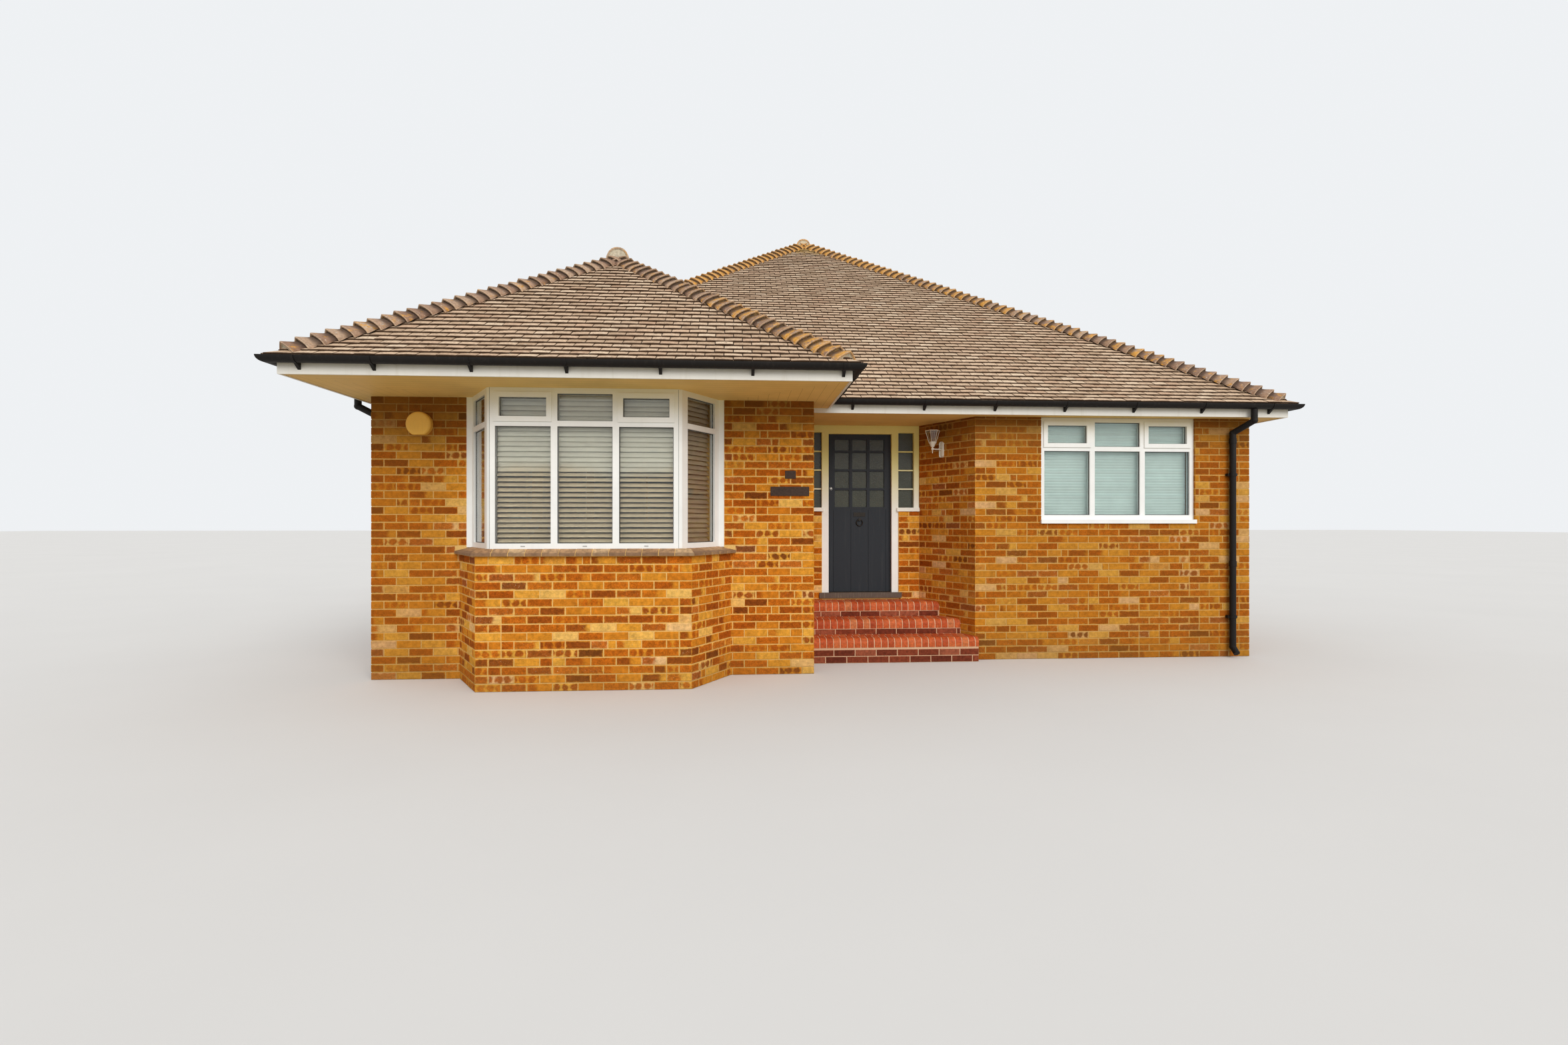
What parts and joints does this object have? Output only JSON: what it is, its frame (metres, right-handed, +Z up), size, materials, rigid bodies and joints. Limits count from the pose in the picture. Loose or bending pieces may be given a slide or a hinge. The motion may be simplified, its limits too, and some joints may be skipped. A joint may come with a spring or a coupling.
{
  "type": "bungalow",
  "caption": "Hip-roofed brick bungalow with a tile-silled bay under a front wing, a recessed porch with steps and a front door that opens.",
  "frame": {"origin": "under the middle of the whole building, at the level of the lowest ground that its walls meet", "axes": "+Z up, the front faces -Y, +X to the right as seen from the front"},
  "size_m": [10.329, 13.254, 6.6092],
  "materials": {
    "brick": "rough",
    "floorboards": "satin",
    "ceiling_board": "matt",
    "sill_tile": "rough",
    "white_frame": "gloss",
    "window_glass": "clear",
    "blind": "matt",
    "threshold_wood": "worn",
    "step_brick": "rough",
    "door_paint": "satin",
    "dark_iron": "satin",
    "roof_tile": "rough",
    "hip_tile": "rough",
    "soffit_board": "matt",
    "fascia_board": "satin",
    "black_plastic": "satin",
    "lantern_metal": "satin",
    "alarm_cover": "gloss",
    "plate": "polished"
  },
  "bodies": {
    "house": {"wing_front_wall": "brick", "wing_right_wall": "brick", "left_wall": "brick", "rear_wall": "brick", "right_wall": "brick", "front_wall": "brick", "porch_splay_wall": "brick", "porch_panels": "brick", "porch_head_wall": "brick", "bay_base": "brick", "floor": "floorboards", "ceiling": "ceiling_board", "bay_sill": "sill_tile", "bay_frame": "white_frame", "front_window_frame": "white_frame", "side_window_frames": "white_frame", "door_frame": "white_frame", "bay_glass": "window_glass", "front_window_glass": "window_glass", "side_window_glass": "window_glass", "sidelight_glass": "window_glass", "window_blinds": "blind", "threshold": "threshold_wood", "step_top": "step_brick", "step_middle": "step_brick", "step_bottom": "step_brick", "wing_front_slope": "roof_tile", "wing_right_slope": "roof_tile", "left_slope": "roof_tile", "front_slope": "roof_tile", "right_slope": "roof_tile", "rear_slope": "roof_tile", "wing_hip_tiles": "hip_tile", "main_hip_tiles": "hip_tile", "rear_hip_tiles": "hip_tile", "wing_soffit": "soffit_board", "main_soffit": "soffit_board", "wing_fascia": "fascia_board", "main_fascia": "fascia_board", "wing_gutter": "black_plastic", "main_gutter": "black_plastic", "left_downpipe": "black_plastic", "right_downpipe": "black_plastic", "wall_lantern": "lantern_metal", "alarm_box": "alarm_cover", "wall_plates": "plate"},
    "front_door": {"front_door": "door_paint", "door_glass": "window_glass", "door_fittings": "dark_iron"}
  },
  "joints": [
    {"name": "front_door_hinge", "type": "hinge", "parent": "house", "child": "front_door", "pos_m": [0.7165, -3.832, 1.68], "axis": [0, 0, -1], "range_deg": [0, 90]}
  ]
}
